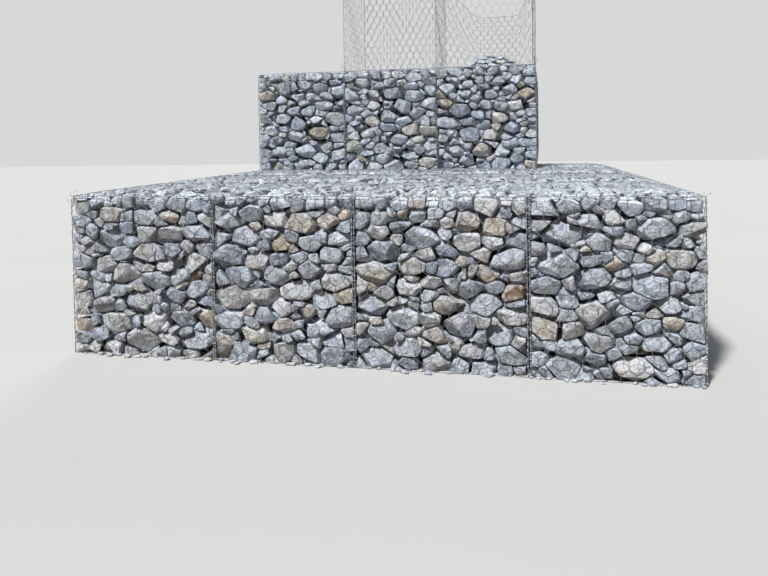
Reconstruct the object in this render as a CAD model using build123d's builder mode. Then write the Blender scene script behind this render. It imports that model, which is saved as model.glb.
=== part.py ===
from build123d import *
import os
from math import hypot

# Stepped gabion wall: a lower course of long baskets laid as headers, an upper course set back on
# their far end, and on that an open basket that is only just being filled.
# Millimetres, +Z up. The front looks towards -Y. The origin is on the ground, under the middle of
# the lower course.

os.makedirs("parts", exist_ok=True)

# Lower course: widths of its baskets as filled, from left to right
lower_widths = [970, 886, 998, 920]
lower_height = 1020
step_depth = 3030
step_rows = 3

# Upper course: one row of baskets on the far end of the lower course
upper_widths = [972, 982, 1006]
upper_height = 1063
upper_depth = 1000
upper_offset = 50

# Open basket on the last bays of the upper course
open_bays = 2
open_height = 1000

# Gap between two baskets, which the lacing spans
seam_gap = 10

# Wires: selvedge along the edges, mesh in the panels, lacing at the seams
edge_wire = 3.4
mesh_wire = 2.7
lacing_wire = 2.2
fit = 0.3

# Double-twist hexagonal mesh: distance between twists, length of a twist, rise of a slanted wire
hex_pitch = 80
twist_length = 45
slant_rise = 29
# To keep the model light, a panel carries one hexagon for this many real ones, each way
front_factor = 2
coarse_factor = 3
# A hexagon that a panel's edge would leave narrower than this stays closed
least_opening = 11

# Stone fill: how far it swells between upright edges and between level ones, and how its edges round
face_bulge = 25
level_bulge = 40
corner_clip = 16
top_clip = 30

# Lacing loops: pitch up a seam, along the foot of the upper course and along the lid
seam_loop_pitch = 200
foot_loop_pitch = 400
lid_loop_pitch = 330

# Lid of the open basket, thrown back to hang behind it
lid_gap = 3

# First stones in the open basket, as a low heap against its front
heap_length = 620
heap_width = 400
heap_height = 140
heap_corner = 100
heap_slope = 38
heap_setback = 60
heap_end_room = 130

# Sizes that follow from the ones above
inset = edge_wire + fit
loop_room = lacing_wire + 2 * fit
row_depth = step_depth / step_rows
lower_depth = step_depth + upper_depth
lower_length = sum(lower_widths) + seam_gap * (len(lower_widths) - 1)
left_end = -lower_length / 2
front = -lower_depth / 2
back = lower_depth / 2
upper_front = front + step_depth
open_floor = lower_height + upper_height
open_top = open_floor + open_height


def bay_spans(first, widths):
    """Left and right side of each basket in a row that starts at first."""
    starts = [first + sum(widths[:i]) + seam_gap * i for i in range(len(widths))]
    return [(start, start + width) for start, width in zip(starts, widths)]


lower_bays = bay_spans(left_end, lower_widths)
upper_bays = bay_spans(left_end + upper_offset, upper_widths)

# Middle planes of the wire frames across a basket. The last but one of a lower basket lies right
# under the front wire of the upper course.
lower_frames = [front + edge_wire / 2]
lower_frames += [front + row_depth * i for i in range(1, step_rows)]
lower_frames += [upper_front + edge_wire / 2, back - edge_wire / 2]
upper_frames = [upper_front + edge_wire / 2, back - edge_wire / 2]


def even_places(low, high, pitch):
    """Places at about the given pitch, half a pitch in from both ends."""
    count = max(1, round((high - low) / pitch))
    return [low + (high - low) * (i + 0.5) / count for i in range(count)]


def outline(low, high, bulges, clips):
    """A rectangle with clipped corners, whose low, right, high and left sides may swell outwards."""
    (u0, v0), (u1, v1) = low, high
    low_clip, high_clip = clips
    mid_u, mid_v = (u0 + u1) / 2, (v0 + low_clip + v1 - high_clip) / 2
    under, right, over, left = bulges
    sides = [
        ((u0 + low_clip, v0), (mid_u, v0 - under), (u1 - low_clip, v0), under),
        ((u1, v0 + low_clip), (u1 + right, mid_v), (u1, v1 - high_clip), right),
        ((u1 - high_clip, v1), (mid_u, v1 + over), (u0 + high_clip, v1), over),
        ((u0, v1 - high_clip), (u0 - left, mid_v), (u0, v0 + low_clip), left),
    ]
    with BuildLine() as rim:
        for number, (start, middle, end, bulge) in enumerate(sides):
            if bulge:
                ThreePointArc(start, middle, end)
            else:
                Line(start, end)
            next_start = sides[(number + 1) % len(sides)][0]
            Line(end, next_start)
    return make_face(rim.edges(), mode=Mode.PRIVATE)


def stone_fill(name, bay, frames, floor, height, left_free, right_free):
    """Packed stone of one basket, a block to each cell, swollen where only the mesh holds it."""
    x0, x1 = bay[0] + inset, bay[1] - inset
    last = len(frames) - 2
    # Cells meet at a diaphragm, whose frame runs in the clipped edges, and stop short of the ends
    rooms = [fit / 2] * len(frames)
    rooms[0] = rooms[-1] = edge_wire / 2 + fit
    cells = [(frames[i] + rooms[i], frames[i + 1] - rooms[i + 1]) for i in range(last + 1)]
    # The two side outlines are extruded past the swollen faces
    reach = 2 * level_bulge
    with BuildPart() as fill:
        with BuildSketch(Plane.XY.offset(floor)):
            for number, (y0, y1) in enumerate(cells):
                near = face_bulge if number == 0 else 0
                far = face_bulge if number == last else 0
                bulges = (near, face_bulge * right_free, far, face_bulge * left_free)
                add(outline((x0, y0), (x1, y1), bulges, (corner_clip, corner_clip)))
        extrude(amount=height)
        with BuildSketch(Plane.XZ.offset(-cells[last][1] - reach)):
            bulges = (0, level_bulge * right_free, 0, level_bulge * left_free)
            add(outline((x0, floor), (x1, floor + height), bulges, (corner_clip, top_clip)))
        extrude(amount=cells[last][1] - cells[0][0] + 2 * reach, mode=Mode.INTERSECT)
        with BuildSketch(Plane.YZ.offset(x0 - reach)):
            for number, (y0, y1) in enumerate(cells):
                bulges = (0, level_bulge * (number == last), 0, level_bulge * (number == 0))
                add(outline((y0, floor), (y1, floor + height), bulges, (corner_clip, top_clip)))
        extrude(amount=x1 - x0 + 2 * reach, mode=Mode.INTERSECT)
    fill.part.label = name
    export_step(fill.part, f"parts/{name}.step")


def wire_basket(name, bay, frames, floor, height):
    """Selvedge wires of one basket: a frame at each end and diaphragm, and four long edges."""
    width, middle = bay[1] - bay[0], (sum(bay) / 2, floor + height / 2)
    with BuildPart() as basket:
        for y in frames:
            with BuildSketch(Plane.XZ.offset(-y)):
                with Locations(middle):
                    Rectangle(width, height)
                    Rectangle(width - 2 * edge_wire, height - 2 * edge_wire, mode=Mode.SUBTRACT)
        extrude(amount=edge_wire / 2, both=True)
        with BuildSketch(Plane.XZ.offset(-frames[-1])):
            with Locations(middle):
                with GridLocations(width - edge_wire, height - edge_wire, 2, 2):
                    Rectangle(edge_wire, edge_wire)
        extrude(amount=frames[-1] - frames[0])
    basket.part.label = name
    export_step(basket.part, f"parts/{name}.step")


def clipped(points, axis, limit):
    """The part of a convex outline that lies within the limit on both sides of the middle."""
    for sign in (1, -1):
        kept = []
        for a, b in zip(points, points[1:] + points[:1]):
            here, there = sign * a[axis], sign * b[axis]
            if here <= limit:
                kept.append(a)
            if (here <= limit) != (there <= limit):
                share = (limit - here) / (there - here)
                kept.append((a[0] + share * (b[0] - a[0]), a[1] + share * (b[1] - a[1])))
        points = kept
    return points


def mesh_outline(width, height, factor):
    """Flat double-twist mesh inside a rectangle, as a face about its middle.

    The twists stand along y and are two wires wide. Every other row is shifted by half a pitch, so
    that the slanted wires of one row run into the twists of the next.
    """
    pitch, half_twist, rise = hex_pitch * factor, twist_length * factor / 2, slant_rise * factor
    row_pitch = 2 * half_twist + rise
    run = pitch / 2
    # A slanted wire's half width, measured along y
    slant_half = mesh_wire / 2 * hypot(run, rise) / run
    side = run - mesh_wire
    shoulder = half_twist + rise * mesh_wire / run - slant_half
    peak = half_twist + rise - slant_half
    upper_half = [(side, shoulder), (0, peak), (-side, shoulder)]
    hole = upper_half + [(-u, -v) for u, v in upper_half]
    # The outermost wires run along the rectangle's edge
    reach_x, reach_y = width / 2 - mesh_wire, height / 2 - mesh_wire
    rows, columns = int(height / row_pitch), int(width / pitch)
    openings = []
    for row in range(-rows, rows + 1):
        for column in range(-columns, columns + 1):
            x, y = (column + row % 2 / 2) * pitch, row * row_pitch
            if abs(x) < reach_x + side - least_opening and abs(y) < reach_y + peak - least_opening:
                shifted = [(x + u, y + v) for u, v in hole]
                openings.append(clipped(clipped(shifted, 0, reach_x), 1, reach_y))
    rim = Wire.make_rect(width, height)
    return Face(rim, [Wire.make_polygon(opening) for opening in openings])


def loop_outline(width, height):
    """Lacing wire bent round something of the given width and height, as a sketch about its middle."""
    with BuildSketch() as loop:
        Rectangle(width + 2 * fit + 2 * lacing_wire, height + 2 * fit + 2 * lacing_wire)
        Rectangle(width + 2 * fit, height + 2 * fit, mode=Mode.SUBTRACT)
    return loop.sketch


def seam_lacing(name, left_bay, right_bay, near, floor, height):
    """Loops that tie the upright front wires of two neighbouring baskets."""
    gap = right_bay[0] - left_bay[1]
    middle = (left_bay[1] + right_bay[0]) / 2
    with BuildPart() as lacing:
        for z in even_places(floor, floor + height, seam_loop_pitch):
            with BuildSketch(Plane.XY.offset(z)):
                with Locations((middle, near + edge_wire / 2)):
                    add(loop_outline(gap + 2 * edge_wire, edge_wire))
        extrude(amount=lacing_wire / 2, both=True)
    lacing.part.label = name
    export_step(lacing.part, f"parts/{name}.step")


# Lower course and upper course, basket by basket
for number, bay in enumerate(lower_bays):
    left_free, right_free = number == 0, number == len(lower_bays) - 1
    stone_fill(f"lower_fill_{number + 1}", bay, lower_frames, 0, lower_height, left_free, right_free)
    wire_basket(f"lower_basket_{number + 1}", bay, lower_frames, 0, lower_height)

for number, bay in enumerate(upper_bays):
    left_free, right_free = number == 0, number == len(upper_bays) - 1
    stone_fill(
        f"upper_fill_{number + 1}", bay, upper_frames, lower_height, upper_height, left_free, right_free
    )
    wire_basket(f"upper_basket_{number + 1}", bay, upper_frames, lower_height, upper_height)

# Lacing up the front of each seam
for number, (left_bay, right_bay) in enumerate(zip(lower_bays, lower_bays[1:])):
    seam_lacing(f"lower_lacing_{number + 1}", left_bay, right_bay, front, 0, lower_height)

for number, (left_bay, right_bay) in enumerate(zip(upper_bays, upper_bays[1:])):
    seam_lacing(
        f"upper_lacing_{number + 1}", left_bay, right_bay, upper_front, lower_height, upper_height
    )

# Loops that tie the foot of the upper course to the lids of the lower one, wherever a lower and an
# upper basket share enough of their width
with BuildPart() as foot_lacing:
    for lower_bay in lower_bays:
        for upper_bay in upper_bays:
            low, high = max(lower_bay[0], upper_bay[0]), min(lower_bay[1], upper_bay[1])
            if high - low > foot_loop_pitch / 2:
                for x in even_places(low, high, foot_loop_pitch):
                    with BuildSketch(Plane.YZ.offset(x)):
                        with Locations((upper_front + edge_wire / 2, lower_height)):
                            add(loop_outline(edge_wire, 2 * edge_wire))
    extrude(amount=lacing_wire / 2, both=True)
foot_lacing.part.label = "foot_lacing"
export_step(foot_lacing.part, "parts/foot_lacing.step")

# Open basket: its frames stand at both ends and over the seams of the bays that carry it
open_over = upper_bays[-open_bays:]
open_frames = [open_over[0][0] + edge_wire / 2]
open_frames += [(a[1] + b[0]) / 2 for a, b in zip(open_over, open_over[1:])]
open_frames += [open_over[-1][1] - edge_wire / 2]
frame_room = edge_wire / 2 + fit
open_cells = [(a + frame_room, b - frame_room) for a, b in zip(open_frames, open_frames[1:])]
open_middle = (upper_front + back) / 2
open_level = open_floor + open_height / 2

with BuildPart() as open_frame:
    for x in open_frames:
        with BuildSketch(Plane.YZ.offset(x)):
            with Locations((open_middle, open_level)):
                Rectangle(upper_depth, open_height)
                Rectangle(upper_depth - 2 * edge_wire, open_height - 2 * edge_wire, mode=Mode.SUBTRACT)
    extrude(amount=edge_wire / 2, both=True)
    with BuildSketch(Plane.YZ.offset(open_frames[0])):
        with Locations((open_middle, open_level)):
            with GridLocations(upper_depth - edge_wire, open_height - edge_wire, 2, 2):
                Rectangle(edge_wire, edge_wire)
    extrude(amount=open_frames[-1] - open_frames[0])
open_frame.part.label = "open_frame"
export_step(open_frame.part, "parts/open_frame.step")

# Clear sizes inside the frames of the open basket
panel_depth = upper_depth - 2 * inset
panel_height = open_height - 2 * inset

with BuildPart() as open_front_mesh:
    with BuildSketch(Plane.XZ.offset(-upper_front - edge_wire / 2)):
        for a, b in open_cells:
            with Locations(((a + b) / 2, open_level)):
                add(mesh_outline(b - a, panel_height, front_factor))
    extrude(amount=mesh_wire / 2, both=True)
open_front_mesh.part.label = "open_front_mesh"
export_step(open_front_mesh.part, "parts/open_front_mesh.step")

# The back panel leaves room under its top wire for the loops that carry the lid
with BuildPart() as open_back_mesh:
    with BuildSketch(Plane.XZ.offset(-back + edge_wire / 2)):
        for a, b in open_cells:
            with Locations(((a + b) / 2, open_level - loop_room / 2)):
                add(mesh_outline(b - a, panel_height - loop_room, coarse_factor))
    extrude(amount=mesh_wire / 2, both=True)
open_back_mesh.part.label = "open_back_mesh"
export_step(open_back_mesh.part, "parts/open_back_mesh.step")

# Ends and diaphragm
cross_names = ["open_left_mesh"]
cross_names += [f"open_diaphragm_{i}" for i in range(1, len(open_frames) - 1)]
cross_names += ["open_right_mesh"]
for cross_name, x in zip(cross_names, open_frames):
    with BuildPart() as cross_mesh:
        with BuildSketch(Plane.YZ.offset(x)):
            with Locations((open_middle, open_level)):
                add(mesh_outline(panel_depth, panel_height, coarse_factor))
        extrude(amount=mesh_wire / 2, both=True)
    cross_mesh.part.label = cross_name
    export_step(cross_mesh.part, f"parts/{cross_name}.step")

with BuildPart() as open_base_mesh:
    with BuildSketch(Plane.XY.offset(open_floor + edge_wire / 2)):
        for a, b in open_cells:
            with Locations(((a + b) / 2, open_middle)):
                add(mesh_outline(b - a, panel_depth, coarse_factor))
    extrude(amount=mesh_wire / 2, both=True)
open_base_mesh.part.label = "open_base_mesh"
export_step(open_base_mesh.part, "parts/open_base_mesh.step")

# Lid: its own selvedge and mesh, hanging behind the back top wire. Its mesh too leaves room for the
# loops.
lid_length = open_frames[-1] - open_frames[0] + edge_wire
lid_place = ((open_frames[0] + open_frames[-1]) / 2, open_level)
lid_plane = Plane.XZ.offset(-back - lid_gap - edge_wire / 2)
with BuildPart() as open_lid:
    with BuildSketch(lid_plane):
        with Locations(lid_place):
            Rectangle(lid_length, open_height)
            Rectangle(lid_length - 2 * edge_wire, open_height - 2 * edge_wire, mode=Mode.SUBTRACT)
    extrude(amount=edge_wire / 2, both=True)
    with BuildSketch(lid_plane):
        with Locations(lid_place):
            with Locations((0, -loop_room / 2)):
                lid_mesh_height = open_height - 2 * edge_wire - loop_room
                add(mesh_outline(lid_length - 2 * edge_wire, lid_mesh_height, coarse_factor))
    extrude(amount=mesh_wire / 2, both=True)
open_lid.part.label = "open_lid"
export_step(open_lid.part, "parts/open_lid.step")

with BuildPart() as lid_lacing:
    for a, b in open_cells:
        for x in even_places(a, b, lid_loop_pitch):
            with BuildSketch(Plane.YZ.offset(x)):
                with Locations((back + lid_gap / 2, open_top - edge_wire / 2)):
                    add(loop_outline(2 * edge_wire + lid_gap, edge_wire))
    extrude(amount=lacing_wire / 2, both=True)
lid_lacing.part.label = "lid_lacing"
export_step(lid_lacing.part, "parts/lid_lacing.step")

# First stones, heaped on the base of the last cell against its front
heap_x = open_frames[-1] - heap_end_room - heap_length / 2
heap_y = upper_front + heap_setback + heap_width / 2
with BuildPart() as first_stones:
    with BuildSketch(Plane.XY.offset(open_floor + edge_wire / 2 + mesh_wire / 2 + fit)) as heap_plan:
        with Locations((heap_x, heap_y)):
            Rectangle(heap_length, heap_width)
        chamfer(heap_plan.vertices(), heap_corner)
    extrude(amount=heap_height, taper=heap_slope)
first_stones.part.label = "first_stones"
export_step(first_stones.part, "parts/first_stones.step")
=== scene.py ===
import itertools
import math
import random

import bmesh
import bpy
import numpy as np
from mathutils import Matrix, Vector


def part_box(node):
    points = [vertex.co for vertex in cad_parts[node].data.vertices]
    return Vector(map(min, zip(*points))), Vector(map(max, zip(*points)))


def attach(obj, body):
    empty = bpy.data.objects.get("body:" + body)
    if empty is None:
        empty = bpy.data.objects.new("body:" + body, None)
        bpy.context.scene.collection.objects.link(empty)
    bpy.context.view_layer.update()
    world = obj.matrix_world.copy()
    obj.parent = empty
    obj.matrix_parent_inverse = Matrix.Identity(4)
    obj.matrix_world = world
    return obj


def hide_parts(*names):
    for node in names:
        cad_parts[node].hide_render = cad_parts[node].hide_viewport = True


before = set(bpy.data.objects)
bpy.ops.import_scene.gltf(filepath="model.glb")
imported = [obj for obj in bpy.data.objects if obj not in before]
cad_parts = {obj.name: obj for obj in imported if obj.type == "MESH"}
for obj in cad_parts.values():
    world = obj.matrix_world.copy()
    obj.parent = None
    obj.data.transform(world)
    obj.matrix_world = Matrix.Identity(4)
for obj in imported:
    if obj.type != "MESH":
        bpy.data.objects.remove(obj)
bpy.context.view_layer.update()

# Places from the frame, in metres: the low and high corner of each basket, and what lines up with them
lower = [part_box(f"lower_basket_{number}") for number in range(1, 5)]
upper = [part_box(f"upper_basket_{number}") for number in range(1, 4)]
open_low, open_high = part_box("open_frame")
lid_low, lid_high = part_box("open_lid")
heap_low, heap_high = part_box("first_stones")
left, right = lower[0][0][0], lower[-1][1][0]
front, back = lower[0][0][1], lower[0][1][1]
upper_left, upper_right, upper_front = upper[0][0][0], upper[-1][1][0], upper[0][0][1]
lower_top, upper_top = lower[0][1][2], upper[0][1][2]

# Diaphragms divide a lower basket into three cells that make the step and one under the upper course
step_cells = 3
cell_lines = [front + (upper_front - front) * line / step_cells for line in range(step_cells + 1)] + [back]

# How far the sides swell between their edges, and how full the swelling is
swell, fullness = 0.022, 1.6
mesh_stand_off = 0.004

# Room that stones keep to the ends of a cell: less than none along the wall, where they lie over seams
cell_room = Vector((-0.003, 0.001, 0.001))

# Mesh: distance between twists, length of a twist, rise of a slanted wire
hex_pitch, twist_length, slant_rise = 0.080, 0.045, 0.029

# Wires: radii, sides of their tubes, and how far they stray from straight
mesh_radius, selvedge_radius, lacing_radius = 0.00135, 0.0019, 0.0011
mesh_sides, far_mesh_sides, selvedge_sides, other_sides = 4, 3, 6, 5
ring_stray, long_stray, open_stray, lid_stray = 0.0012, 0.0015, 0.003, 0.002
stray_step = 0.07
inset = Vector((selvedge_radius,) * 3)

# Lacing: distance between its turns at the seams, over the step, at the foot and on the lid
seam_pitch, step_pitch, foot_pitch, lid_pitch = 0.09, 0.22, 0.20, 0.02
lacing_slack = 0.003
lacing_rise = selvedge_radius + lacing_radius

# Open basket: sag of its back edge, how unevenly its panels and its lid hang
sag, panel_slack, lid_slack = 0.32, 0.011, 0.006

# Stones: mean half size and number to a square metre of a side, and mean half size and number in the heap
stone_sizes = [(0.106, 9), (0.082, 24), (0.061, 38), (0.043, 40), (0.029, 30)]
heap_sizes = [(0.062, 14), (0.048, 26), (0.034, 30)]
size_spread = 0.86, 1.14
heap_slope = math.radians(38)

# Tries to place each stone, on a side and in the heap, and the tries more that every side gets
side_tries, heap_tries, more_tries = 12, 60, 20

# How much flatter than wide stones lie, and how coarse they are on top and in the upper course
flatness = 1.48
top_grain, upper_grain = 0.68, 1.10

# Stones in the dark behind the others: half size, depth and number to a square metre
inner_size, inner_depth, inner_count = 0.100, 0.150, 40

# How near stones may come to each other, as shares of their half sizes added up
side_spacing, edge_spacing, inner_spacing, heap_spacing = 0.86, 0.78, 0.70, 0.80

# Depth of a stone behind its side, and the room it keeps to the side's ends, as shares of its half size
stone_depth, end_share = (0.45, 0.85), 0.4

# Rows along the edges: half sizes, the step and depth as shares of them, the shortest stretch that takes
# one more stone, and the room at its end
edge_sizes, edge_step, edge_depth = (0.040, 0.088), 1.7, (0.55, 0.80)
least_row, row_room = 0.05, 0.02

# The most room a stone takes and how near a side it has to be to face it, as shares of its half size,
# and the room it keeps to the cell's ends behind wires and elsewhere
most_room, facing = 1.75, 1.9
room_by_wires, room_elsewhere = (0.001, 0.015), (-0.009, 0.002)

# Where two stones meet: widths of the gap, how far it leans, how far each stone's own face turns from
# it, and as shares of the stone's half size, what its face wears off and how near its middle it may come
gap_widths = 0.001, 0.0015, 0.002, 0.0025, 0.003, 0.005, 0.007, 0.010
gap_lean, own_turn, worn_share, least_share = 0.55, 0.10, 0.010, 0.18
neighbours = 18

# What gaps are times: a share, more for each metre of half size, and coarseness to a power
gap_share, gap_growth, gap_power = 0.4, 10, 5

# How far outward faces lie behind the mesh: some deep, most of them near, and the loose ones on top
deep_share, deep, near_by = 0.16, (0.015, 0.035), (0, 0.016)
loose_depths = 0, 0.006, 0.020, 0.038, 0.056

# Breaks: slopes from the outward direction in degrees, the share that comes off of what lies that way,
# and how broken the stones placed one by one are
face_slopes, edge_slopes, loose_slopes = (3, 30), (3, 9), (15, 58)
large_chip_slopes, large_chip = (22, 50), (0.26, 0.56)
small_chip_slopes, small_chip = (28, 66), (0.10, 0.38)
chance_chip, spall_chip = (0.10, 0.30), (0.05, 0.30)
landmark_break = 0.5

# How much breaks by chance turn from facing outward to facing along the side
chance_turn = 0.7

# How much of a basket's level and upright edges the stones round off, and the share that each takes
level_round, upright_round, round_tilt = 0.042, 0.012, math.radians(14)
round_shares = 0.25, 1

# Width of worn edges, which is times a least share and the half size as a share of another, and the
# length under which edges are merged, on the front and elsewhere
worn_edges, spall_edge = (0.0012, 0.0030), 0.0025
least_wear, wear_size = 0.5, 0.10
least_edge, coarse_edge = 0.0045, 0.0070


def new_mesh(name, points, faces, material):
    """A mesh object from lists or arrays of points and faces."""
    mesh = bpy.data.meshes.new(name)
    mesh.from_pydata(points, [], faces)
    mesh.materials.append(material)
    mesh.update()
    thing = bpy.data.objects.new(name, mesh)
    bpy.context.scene.collection.objects.link(thing)
    return thing


# Convex solids, as a list of points and a list of faces of point numbers

def box_solid(low, high):
    """A box as a convex solid."""
    points = [(x, y, z) for x in (low[0], high[0]) for y in (low[1], high[1]) for z in (low[2], high[2])]
    faces = [[0, 1, 3, 2], [4, 6, 7, 5], [0, 4, 5, 1], [2, 3, 7, 6], [0, 2, 6, 4], [1, 5, 7, 3]]
    return points, faces


def cut(solid, normal, offset, hairline=1e-7):
    """Cuts away what lies beyond a plane. Gives None where nothing is left."""
    points, faces = solid
    nx, ny, nz = normal
    side = [nx * x + ny * y + nz * z - offset for x, y, z in points]
    if max(side) <= hairline:
        return solid
    if min(side) >= -hairline:
        return None
    kept, numbers, crossings, following = [], {}, {}, {}

    def keep(i):
        if i not in numbers:
            numbers[i] = len(kept)
            kept.append(points[i])
        return numbers[i]

    def cross(i, j):
        key = (i, j) if i < j else (j, i)
        if key not in crossings:
            share = side[i] / (side[i] - side[j])
            a, b = points[i], points[j]
            crossings[key] = len(kept)
            kept.append(tuple(a[k] + share * (b[k] - a[k]) for k in range(3)))
        return crossings[key]

    cut_faces = []
    for face in faces:
        loop, leave, enter = [], None, None
        for i, j in zip(face, face[1:] + face[:1]):
            inside, next_inside = side[i] <= 0, side[j] <= 0
            if inside:
                loop.append(keep(i))
            if inside != next_inside:
                number = cross(i, j)
                loop.append(number)
                if inside:
                    leave = number
                else:
                    enter = number
        if len(loop) > 2:
            cut_faces.append(loop)
        if leave is not None and enter is not None:
            following[enter] = leave
    if len(following) > 2:
        start = next(iter(following))
        cap, here = [start], following[start]
        while here != start and here in following and len(cap) <= len(following):
            cap.append(here)
            here = following[here]
        if len(cap) > 2:
            cut_faces.append(cap)
    return kept, cut_faces


def reach(solid, normal):
    """How far a solid goes in a direction."""
    return max(normal[0] * x + normal[1] * y + normal[2] * z for x, y, z in solid[0])


def chipped(rng, solid, direction, centre, shares, broken=1.0):
    """Breaks off a share of what lies in a direction, the less of it the less broken a stone is."""
    far, inside = reach(solid, direction), direction @ centre
    return cut(solid, direction, far - (far - inside) * rng.uniform(shares[0] * broken, shares[1] * broken))


def round_off(solid, width, edge=least_edge, least_face=0.0015, shortest=1e-5):
    """Rounds a convex solid's edges: each face shrinks by about the width, and a hull closes it."""
    points, faces = solid
    rounded = []
    for face in faces:
        corners = [Vector(points[i]) for i in face]
        centre = sum(corners, Vector()) / len(corners)
        inner = min(
            (centre - a).cross(centre - b).length / max((b - a).length, shortest)
            for a, b in zip(corners, corners[1:] + corners[:1])
        )
        if inner < least_face:
            continue
        share = min(0.5, width / inner)
        rounded += [corner.lerp(centre, share) for corner in corners]
    if len(rounded) < 8:
        return None
    hull = bmesh.new()
    for point in rounded:
        hull.verts.new(point)
    bmesh.ops.remove_doubles(hull, verts=hull.verts, dist=edge)
    bmesh.ops.convex_hull(hull, input=hull.verts)
    loose = [vert for vert in hull.verts if not vert.link_faces]
    bmesh.ops.delete(hull, geom=loose, context="VERTS")
    hull.verts.index_update()
    result = [tuple(v.co) for v in hull.verts], [[v.index for v in f.verts] for f in hull.faces]
    hull.free()
    return result if len(result[1]) > 7 else None


# Chance directions

def any_way(rng):
    """A direction by chance, not of unit length."""
    return Vector((rng.gauss(0, 1), rng.gauss(0, 1), rng.gauss(0, 1)))


def tilted(rng, normal, most):
    """A unit vector near the given one, turned by up to about the given angle."""
    return (Vector(normal) + any_way(rng).normalized() * math.tan(most) * rng.random()).normalized()


def slanted(rng, outward, slopes):
    """A direction at a slope from the outward one, to any side of it."""
    wild = any_way(rng)
    wild = (wild - outward * wild.dot(outward)).normalized()
    slope = math.radians(rng.uniform(*slopes))
    return outward * math.cos(slope) + wild * math.sin(slope)


# Where the stones lie

class Side:
    """One exposed side of a cell: where it is, which way it looks, and how coarse its stones are. Its
    limits are the stretch of it that shows."""

    def __init__(self, low, high, axis, outward, grain, limits=None):
        self.axis, self.outward, self.grain = axis, outward, grain
        self.u, self.v = [k for k in range(3) if k != axis]
        self.low, self.high = list(low), list(high)
        self.level = high[axis] if outward > 0 else low[axis]
        self.normal = [0, 0, 0]
        self.normal[axis] = outward
        self.limits = limits or ((low[self.u], high[self.u]), (low[self.v], high[self.v]))

    def area(self):
        """Size of the stretch that shows."""
        (u0, u1), (v0, v1) = self.limits
        return (u1 - u0) * (v1 - v0)

    def swollen(self, k, place):
        """How swollen the side is at a place along one of its axes: 1 and more over most of it."""
        share = (place - self.low[k]) / (self.high[k] - self.low[k])
        return 4 * share * (1 - share) * fullness

    def rise(self, point):
        """How far the swollen side stands out of the flat one there."""
        across, up = [min(1.0, max(0.0, self.swollen(k, point[k]))) for k in (self.u, self.v)]
        return swell * across * up

    def depth(self, point):
        """How far a point lies behind the swollen side."""
        return (self.level - point[self.axis]) * self.outward + self.rise(point)

    def place(self, rng, depth):
        """A random point at a depth behind the side."""
        point = [0.0, 0.0, 0.0]
        (u0, u1), (v0, v1) = self.limits
        point[self.u], point[self.v] = rng.uniform(u0, u1), rng.uniform(v0, v1)
        point[self.axis] = self.level + self.outward * (self.rise(point) - depth)
        return point


class Slope:
    """A plane that bounds a heap, with the calls of a side that its stones need."""

    grain = 1.0

    def __init__(self, normal, point):
        self.normal = tuple(Vector(normal).normalized())
        self.offset = Vector(self.normal) @ Vector(point)

    def depth(self, point):
        """How far a point lies behind the plane."""
        return self.offset - Vector(self.normal) @ Vector(point)


class Seeds:
    """Places and half sizes of stones. The marks, the ones with a set place, come first."""

    def __init__(self, marks=()):
        self.places = [list(place) for place, _ in marks]
        self.sizes = [size for _, size in marks]

    def add(self, point, radius, spacing):
        """Takes a stone in, unless it lies too near to another. Says whether it did."""
        if self.places:
            away = (np.array(self.places) - point) * np.array([1, 1, flatness])
            room = (np.array(self.sizes) + radius) * spacing
            if np.any(np.einsum("ij,ij->i", away, away) < room * room):
                return False
        self.places.append(point)
        self.sizes.append(radius)
        return True

    def settle(self, rng, size, count, tries, spacing, place):
        """Up to a number of stones of about one size, where place finds a point for them."""
        found = 0
        for _ in range(tries):
            if found >= count:
                break
            radius = size * rng.uniform(*size_spread)
            point = place(radius)
            if point:
                found += self.add(point, radius, spacing)

    def settle_edge(self, rng, first, second):
        """A row of stones where two sides meet."""
        along = 3 - first.axis - second.axis
        ranges = [side.limits[0 if side.u == along else 1] for side in (first, second)]
        here, end = max(low for low, _ in ranges), min(high for _, high in ranges)
        while end - here > least_row:
            radius = rng.uniform(*edge_sizes)
            step = radius * (edge_step / flatness if along == 2 else edge_step)
            point = [0.0, 0.0, 0.0]
            point[along] = min(here + step * 0.5, end - row_room)
            for side in (first, second):
                point[side.axis] = side.level - side.outward * radius * rng.uniform(*edge_depth)
            here += step
            self.add(point, radius, edge_spacing)


def scatter(rng, sides, low, high, marks):
    """Seeds of the stones behind the exposed sides, and how many of them lie near one: first those with
    a set place, then rows along the edges, then large ones and ever smaller ones, and last the ones in
    the dark behind them."""
    seeds = Seeds(marks)

    def settle(side, size, count, spacing, depth=None):
        def place(radius):
            point, room = side.place(rng, depth or radius * rng.uniform(*stone_depth)), end_share * radius
            fits = all(low[k] + room < point[k] < high[k] - room for k in (side.u, side.v))
            return point if fits else None

        seeds.settle(rng, size, count, int(count * side_tries) + more_tries, spacing, place)

    for first, second in itertools.combinations(sides, 2):
        if first.axis != second.axis:
            seeds.settle_edge(rng, first, second)
    for size, count in stone_sizes:
        for side in sides:
            settle(side, size * side.grain, count * side.area() / side.grain**2, side_spacing)
    outer = len(seeds.places)
    for side in sides:
        settle(side, inner_size, inner_count * side.area(), inner_spacing, inner_depth)
    return seeds, outer


# What each stone looks like

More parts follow.
